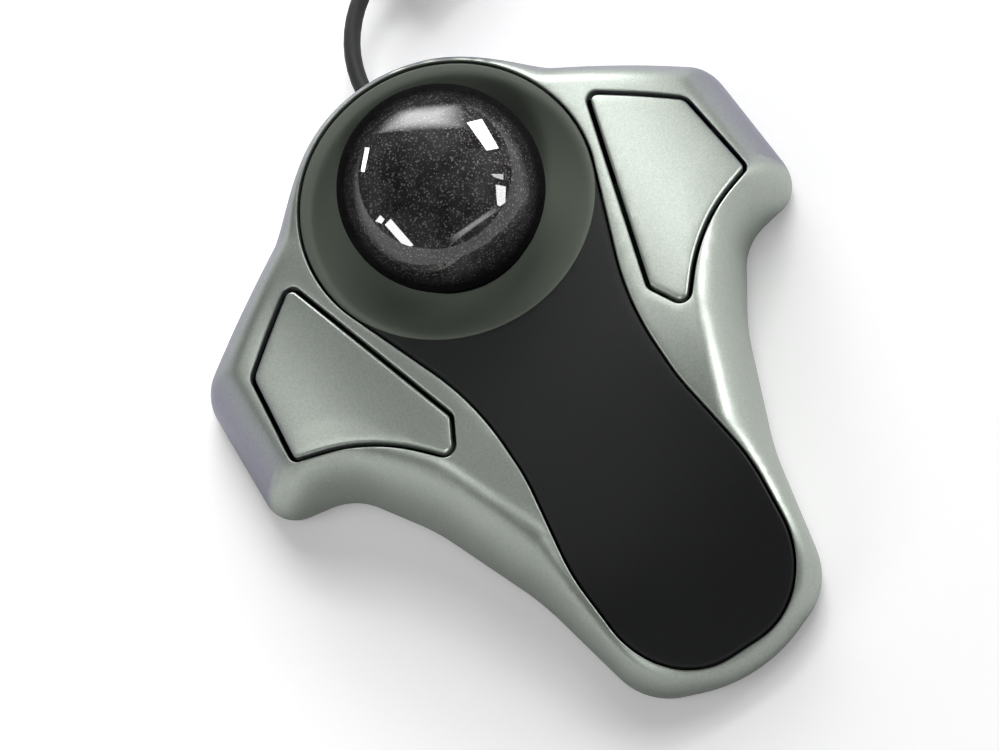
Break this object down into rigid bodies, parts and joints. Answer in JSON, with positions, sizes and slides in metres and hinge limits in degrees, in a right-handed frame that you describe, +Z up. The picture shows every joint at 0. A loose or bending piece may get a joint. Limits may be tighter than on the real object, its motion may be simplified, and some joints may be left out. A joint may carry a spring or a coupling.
{
  "type": "trackball mouse",
  "caption": "Wing-shaped desk trackball mouse with a large ball in a dished palm rest, hinged side buttons and a cable.",
  "frame": {"origin": "middle of the rubber foot that stands under the ball, on the table plane, straight below the ball's centre", "axes": "+Z up from the table, +Y towards the cable at the rear, +X to the user's right"},
  "size_m": [0.1226, 0.1785, 0.055],
  "materials": {
    "silver_paint": "silver metallic paint on moulded plastic, satin",
    "soft_touch": "charcoal soft-touch coating",
    "ball_resin": "polished dark grey resin with fine light specks",
    "black_plastic": "black moulded plastic, fine spark-eroded texture",
    "foot_rubber": "black rubber",
    "screw_steel": "zinc-plated steel",
    "bearing_steel": "polished hard steel",
    "board_green": "green solder mask on glass-fibre board",
    "chip_black": "black moulded epoxy",
    "clear_lens": "clear moulded lens",
    "red_lens": "red tinted epoxy lens",
    "orange_ceramic": "dipped ceramic",
    "blue_sleeve": "shrink sleeve on aluminium can",
    "white_plastic": "white moulded nylon",
    "cable_jacket": "dark grey flexible vinyl",
    "plug_steel": "nickel-plated steel"
  },
  "bodies": {
    "housing": {"top_shell": "silver_paint", "centre_panel": "soft_touch", "base": "black_plastic", "feet": "foot_rubber", "case_screws": "screw_steel", "panel_screws": "screw_steel", "ball_cup": "black_plastic", "support_bearings": "bearing_steel", "cup_screws": "screw_steel", "circuit_board": "board_green", "board_screws": "screw_steel", "motion_sensor": "chip_black", "sensor_lens": "clear_lens", "light_diode": "red_lens", "diode_holder": "black_plastic", "controller_chip": "chip_black", "resonator": "orange_ceramic", "capacitor": "blue_sleeve", "left_switch": "black_plastic", "right_switch": "black_plastic", "cable_header": "white_plastic", "cable_plug": "white_plastic", "cable": "cable_jacket", "strain_relief": "cable_jacket", "usb_plug_body": "cable_jacket", "usb_plug_shell": "plug_steel", "usb_plug_tongue": "white_plastic"},
    "trackball": {"ball": "ball_resin"},
    "left_button": {"left_button": "silver_paint"},
    "right_button": {"right_button": "silver_paint"},
    "left_plunger": {"left_plunger": "white_plastic"},
    "right_plunger": {"right_plunger": "white_plastic"}
  },
  "joints": [
    {"name": "ball_spin", "type": "hinge", "parent": "housing", "child": "trackball", "pos_m": [0, 0, 0.035], "axis": [1, 0, 0], "continuous": true},
    {"name": "left_button_press", "type": "hinge", "parent": "housing", "child": "left_button", "pos_m": [-0.02547, -0.03895, 0.0205], "axis": [0.2781, -0.9606, 0], "range_deg": [0, 2], "stiffness_Nm_per_rad": 0.3},
    {"name": "right_button_press", "type": "hinge", "parent": "housing", "child": "right_button", "pos_m": [0.02547, -0.03895, 0.0205], "axis": [0.2781, 0.9606, 0], "range_deg": [0, 2], "stiffness_Nm_per_rad": 0.3},
    {"name": "left_plunger_travel", "type": "slide", "parent": "housing", "child": "left_plunger", "axis": [0, 0, -1], "range_m": [0, 0.0005]},
    {"name": "right_plunger_travel", "type": "slide", "parent": "housing", "child": "right_plunger", "axis": [0, 0, -1], "range_m": [0, 0.0005]}
  ],
  "couplings": [
    {"joint": "left_plunger_travel", "follows": "left_button_press", "m_per_rad": 0.01334},
    {"joint": "right_plunger_travel", "follows": "right_button_press", "m_per_rad": 0.01334}
  ]
}
